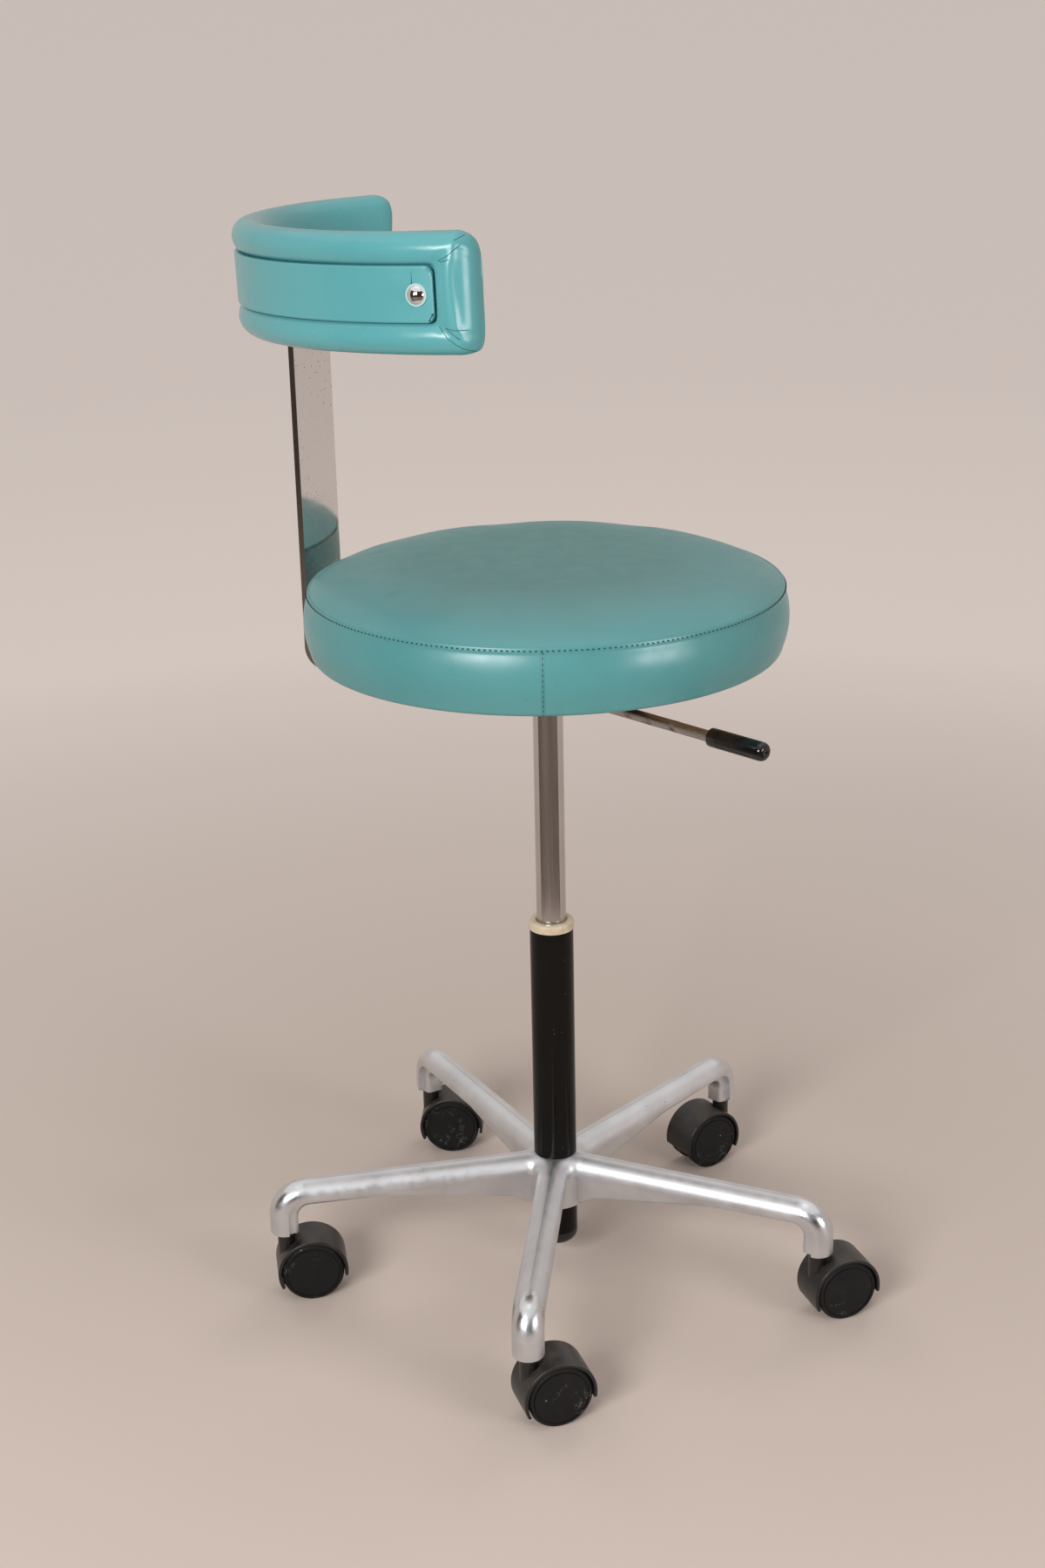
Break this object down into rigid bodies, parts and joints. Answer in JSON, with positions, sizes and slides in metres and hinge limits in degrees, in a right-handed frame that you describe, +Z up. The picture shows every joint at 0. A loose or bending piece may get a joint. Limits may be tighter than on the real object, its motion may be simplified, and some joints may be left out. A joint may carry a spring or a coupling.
{
  "type": "medical stool",
  "caption": "Height-adjustable medical stool: round padded seat, curved padded backrest on a flat chrome strap, lift lever, and a cast star base on hooded twin-wheel castors.",
  "frame": {"origin": "on the floor, under the column axis", "axes": "+Z up along the column, +Y towards the backrest strap, the sitter faces -Y"},
  "size_m": [0.4708, 0.4975, 0.8832],
  "materials": {
    "cast_aluminium": "polished casting",
    "black_enamel": "gloss",
    "black_plastic": "satin",
    "wheel_plastic": "matt",
    "gloss_black": "gloss",
    "ivory_plastic": "satin",
    "plain_steel": "plain",
    "chrome_tube": "polished",
    "chrome_strap": "polished",
    "plywood": "raw",
    "teal_vinyl": "smooth vinyl"
  },
  "bodies": {
    "base": {"star_base": "cast_aluminium", "column_tube": "black_enamel", "column_end_plug": "black_plastic", "guide_bush": "ivory_plastic", "thrust_bearing": "plain_steel", "castor_stem_1": "plain_steel", "castor_stem_2": "plain_steel", "castor_stem_3": "plain_steel", "castor_stem_4": "plain_steel", "castor_stem_5": "plain_steel"},
    "lift_core": {"piston_rod": "plain_steel", "retaining_clip": "plain_steel", "piston": "plain_steel"},
    "seat": {"lift_cylinder": "chrome_tube", "cylinder_gland": "black_plastic", "seat_plate": "black_enamel", "seat_screws": "plain_steel", "seat_board": "plywood", "seat_cushion": "teal_vinyl", "lever_pin": "plain_steel", "swing_collar": "plain_steel", "swing_washers": "ivory_plastic"},
    "lever": {"lever_rod": "plain_steel", "lever_grip": "gloss_black"},
    "valve": {"valve_pin": "plain_steel"},
    "backrest": {"back_strap": "chrome_strap", "back_carrier": "plain_steel", "back_band": "teal_vinyl", "band_screws": "chrome_strap", "strap_bolts": "plain_steel", "back_cushion": "teal_vinyl"},
    "castor_1": {"castor_hood_1": "black_plastic", "castor_axle_1": "plain_steel"},
    "wheel_1a": {"castor_wheel_1a": "wheel_plastic"},
    "wheel_1b": {"castor_wheel_1b": "wheel_plastic"},
    "castor_2": {"castor_hood_2": "black_plastic", "castor_axle_2": "plain_steel"},
    "wheel_2a": {"castor_wheel_2a": "wheel_plastic"},
    "wheel_2b": {"castor_wheel_2b": "wheel_plastic"},
    "castor_3": {"castor_hood_3": "black_plastic", "castor_axle_3": "plain_steel"},
    "wheel_3a": {"castor_wheel_3a": "wheel_plastic"},
    "wheel_3b": {"castor_wheel_3b": "wheel_plastic"},
    "castor_4": {"castor_hood_4": "black_plastic", "castor_axle_4": "plain_steel"},
    "wheel_4a": {"castor_wheel_4a": "wheel_plastic"},
    "wheel_4b": {"castor_wheel_4b": "wheel_plastic"},
    "castor_5": {"castor_hood_5": "black_plastic", "castor_axle_5": "plain_steel"},
    "wheel_5a": {"castor_wheel_5a": "wheel_plastic"},
    "wheel_5b": {"castor_wheel_5b": "wheel_plastic"}
  },
  "joints": [
    {"name": "seat_spin", "type": "hinge", "parent": "base", "child": "lift_core", "pos_m": [0, 0, 0.3], "axis": [0, 0, 1], "continuous": true},
    {"name": "seat_lift", "type": "slide", "parent": "lift_core", "child": "seat", "axis": [0, 0, 1], "range_m": [-0.15, 0]},
    {"name": "lever_pull", "type": "hinge", "parent": "seat", "child": "lever", "pos_m": [-0.00867, -0.02872, 0.531], "axis": [-0.9573, 0.289, 0], "range_deg": [0, 6], "stiffness_Nm_per_rad": 2},
    {"name": "valve_press", "type": "slide", "parent": "seat", "child": "valve", "axis": [0, 0, 1], "range_m": [-0.0032, 0]},
    {"name": "back_swing", "type": "hinge", "parent": "seat", "child": "backrest", "pos_m": [0, 0, 0.511], "axis": [0, 0, 1], "range_deg": [-150, 120]},
    {"name": "castor_swivel_1", "type": "hinge", "parent": "base", "child": "castor_1", "pos_m": [0.02172, -0.22978, 0.05], "axis": [0, 0, 1], "continuous": true},
    {"name": "wheel_spin_1a", "type": "hinge", "parent": "castor_1", "child": "wheel_1a", "pos_m": [0.03694, -0.24291, 0.0256], "axis": [0.6534, 0.757, 0], "continuous": true},
    {"name": "wheel_spin_1b", "type": "hinge", "parent": "castor_1", "child": "wheel_1b", "pos_m": [0.03694, -0.24291, 0.0256], "axis": [0.6534, 0.757, 0], "continuous": true},
    {"name": "castor_swivel_2", "type": "hinge", "parent": "base", "child": "castor_2", "pos_m": [0.22524, -0.05035, 0.05], "axis": [0, 0, 1], "continuous": true},
    {"name": "wheel_spin_2a", "type": "hinge", "parent": "castor_2", "child": "wheel_2a", "pos_m": [0.20741, -0.04107, 0.0256], "axis": [-0.4617, -0.887, 0], "continuous": true},
    {"name": "wheel_spin_2b", "type": "hinge", "parent": "castor_2", "child": "wheel_2b", "pos_m": [0.20741, -0.04107, 0.0256], "axis": [-0.4617, -0.887, 0], "continuous": true},
    {"name": "castor_swivel_3", "type": "hinge", "parent": "base", "child": "castor_3", "pos_m": [0.11749, 0.19866, 0.05], "axis": [0, 0, 1], "continuous": true},
    {"name": "wheel_spin_3a", "type": "hinge", "parent": "castor_3", "child": "wheel_3a", "pos_m": [0.12642, 0.18066, 0.0256], "axis": [0.8957, 0.4446, 0], "continuous": true},
    {"name": "wheel_spin_3b", "type": "hinge", "parent": "castor_3", "child": "wheel_3b", "pos_m": [0.12642, 0.18066, 0.0256], "axis": [0.8957, 0.4446, 0], "continuous": true},
    {"name": "castor_swivel_4", "type": "hinge", "parent": "base", "child": "castor_4", "pos_m": [-0.15263, 0.17313, 0.05], "axis": [0, 0, 1], "continuous": true},
    {"name": "wheel_spin_4a", "type": "hinge", "parent": "castor_4", "child": "wheel_4a", "pos_m": [-0.13995, 0.15753, 0.0256], "axis": [0.776, 0.6307, 0], "continuous": true},
    {"name": "wheel_spin_4b", "type": "hinge", "parent": "castor_4", "child": "wheel_4b", "pos_m": [-0.13995, 0.15753, 0.0256], "axis": [0.776, 0.6307, 0], "continuous": true},
    {"name": "castor_swivel_5", "type": "hinge", "parent": "base", "child": "castor_5", "pos_m": [-0.21182, -0.09166, 0.05], "axis": [0, 0, 1], "continuous": true},
    {"name": "wheel_spin_5a", "type": "hinge", "parent": "castor_5", "child": "wheel_5a", "pos_m": [-0.19679, -0.10501, 0.0256], "axis": [0.6639, 0.7478, 0], "continuous": true},
    {"name": "wheel_spin_5b", "type": "hinge", "parent": "castor_5", "child": "wheel_5b", "pos_m": [-0.19679, -0.10501, 0.0256], "axis": [0.6639, 0.7478, 0], "continuous": true}
  ],
  "couplings": [
    {"joint": "valve_press", "follows": "lever_pull", "m_per_rad": -0.028648}
  ]
}
